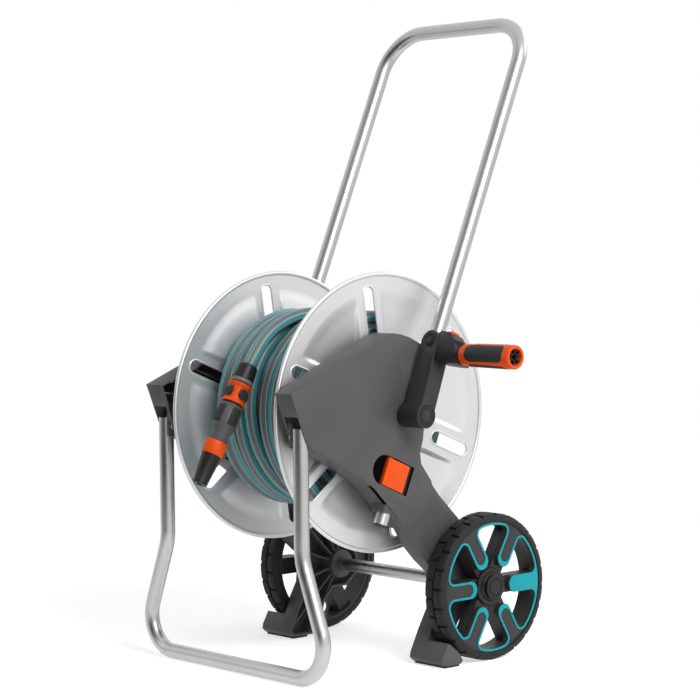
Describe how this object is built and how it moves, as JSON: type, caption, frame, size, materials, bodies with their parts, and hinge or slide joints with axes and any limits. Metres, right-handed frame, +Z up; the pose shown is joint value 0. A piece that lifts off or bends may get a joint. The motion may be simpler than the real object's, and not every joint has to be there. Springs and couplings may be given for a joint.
{
  "type": "garden hose reel cart",
  "caption": "Garden hose reel cart with a bent tube stand, pressed metal reel, wound hose with nozzle, folding crank, sliding push handle and spoked wheels.",
  "frame": {"origin": "middle of the cart's footprint, on the floor", "axes": "+X towards the crank side, +Y to the back where the wheels are, +Z up"},
  "size_m": [0.5114, 0.493, 0.8677],
  "materials": {
    "steel_tube": "satin",
    "shaft_steel": "satin",
    "zinc": "gloss",
    "brass": "satin",
    "flange_metal": "satin",
    "frame_plastic": "matte",
    "black_plastic": "matte",
    "grey_plastic": "matte",
    "orange_plastic": "satin",
    "teal_plastic": "satin",
    "soft_black": "matte",
    "hose": "satin",
    "tyre": "matte"
  },
  "bodies": {
    "cart": {"front_leg_loop": "steel_tube", "wheel_axle": "steel_tube", "right_side_frame": "frame_plastic", "left_side_frame": "frame_plastic", "right_foot_pad": "soft_black", "left_foot_pad": "soft_black", "right_hub_cap": "black_plastic", "left_hub_cap": "black_plastic", "right_leg_screw": "zinc", "left_leg_screw": "zinc", "right_reel_bush": "black_plastic", "left_reel_bush": "black_plastic"},
    "handle": {"push_handle": "steel_tube", "right_handle_plug": "black_plastic", "left_handle_plug": "black_plastic"},
    "right_slider": {"right_release_slider": "orange_plastic"},
    "left_slider": {"left_release_slider": "orange_plastic"},
    "reel": {"right_flange": "flange_metal", "left_flange": "flange_metal", "drum_barrel": "black_plastic", "drum_screws": "zinc", "crank_shaft": "shaft_steel", "water_spindle": "brass", "spindle_seal": "soft_black", "drum_outlet": "brass", "hose_core": "hose", "hose_winding": "hose", "hose_nut": "black_plastic", "connector_body": "grey_plastic", "nozzle_seal": "soft_black", "nozzle_body": "grey_plastic", "nozzle_soft_grip": "soft_black", "crank_arm": "black_plastic", "crank_hub_ring": "black_plastic", "fold_pin": "black_plastic"},
    "connector_collar": {"connector_collar": "orange_plastic", "connector_pads": "soft_black"},
    "nozzle_twist": {"nozzle_ring": "orange_plastic", "nozzle_tip": "black_plastic"},
    "inlet": {"inlet_elbow": "black_plastic", "inlet_nipple": "grey_plastic"},
    "crank_fold": {"fold_bracket": "black_plastic", "grip_spindle": "shaft_steel", "grip_screw": "zinc"},
    "fold_lock": {"fold_lock": "orange_plastic"},
    "crank_grip": {"crank_grip": "orange_plastic", "grip_inserts": "soft_black"},
    "right_wheel": {"right_tyre": "tyre", "right_rim": "black_plastic", "right_wheel_trim": "teal_plastic"},
    "left_wheel": {"left_tyre": "tyre", "left_rim": "black_plastic", "left_wheel_trim": "teal_plastic"}
  },
  "joints": [
    {"name": "reel_spin", "type": "hinge", "parent": "cart", "child": "reel", "pos_m": [-0.06585, -0.03414, 0.335], "axis": [1, 0, 0], "continuous": true},
    {"name": "handle_slide", "type": "slide", "parent": "cart", "child": "handle", "axis": [0, 0.3971, 0.9178], "range_m": [-0.14, 0]},
    {"name": "right_slider_push", "type": "slide", "parent": "cart", "child": "right_slider", "axis": [0, 0.9178, -0.3971], "range_m": [0, 0.007], "stiffness_N_per_m": 400, "springref_m": -0.001},
    {"name": "left_slider_push", "type": "slide", "parent": "cart", "child": "left_slider", "axis": [0, 0.9178, -0.3971], "range_m": [0, 0.007], "stiffness_N_per_m": 400, "springref_m": -0.001},
    {"name": "inlet_swivel", "type": "hinge", "parent": "cart", "child": "inlet", "pos_m": [-0.06585, -0.03414, 0.335], "axis": [1, 0, 0], "range_deg": [-75, 75]},
    {"name": "right_wheel_spin", "type": "hinge", "parent": "cart", "child": "right_wheel", "pos_m": [0.09915, 0.09036, 0.0982], "axis": [1, 0, 0], "continuous": true},
    {"name": "left_wheel_spin", "type": "hinge", "parent": "cart", "child": "left_wheel", "pos_m": [-0.23085, 0.09036, 0.0982], "axis": [1, 0, 0], "continuous": true},
    {"name": "crank_fold", "type": "hinge", "parent": "reel", "child": "crank_fold", "pos_m": [0.1075, -0.00096, 0.42615], "axis": [0, -0.9397, 0.342], "range_deg": [0, 90]},
    {"name": "fold_lock_press", "type": "slide", "parent": "crank_fold", "child": "fold_lock", "axis": [0, -0.342, -0.9397], "range_m": [0, 0.0015], "stiffness_N_per_m": 800, "springref_m": -0.0005},
    {"name": "grip_spin", "type": "hinge", "parent": "crank_fold", "child": "crank_grip", "pos_m": [0.20415, -0.00541, 0.41393], "axis": [1, 0, 0], "continuous": true},
    {"name": "collar_pull", "type": "slide", "parent": "reel", "child": "connector_collar", "axis": [0, 0.4924, 0.8704], "range_m": [0, 0.004], "stiffness_N_per_m": 900, "springref_m": -0.0005},
    {"name": "nozzle_turn", "type": "hinge", "parent": "reel", "child": "nozzle_twist", "pos_m": [-0.07085, -0.22963, 0.29509], "axis": [0, -0.4924, -0.8704], "range_deg": [0, 270]}
  ]
}
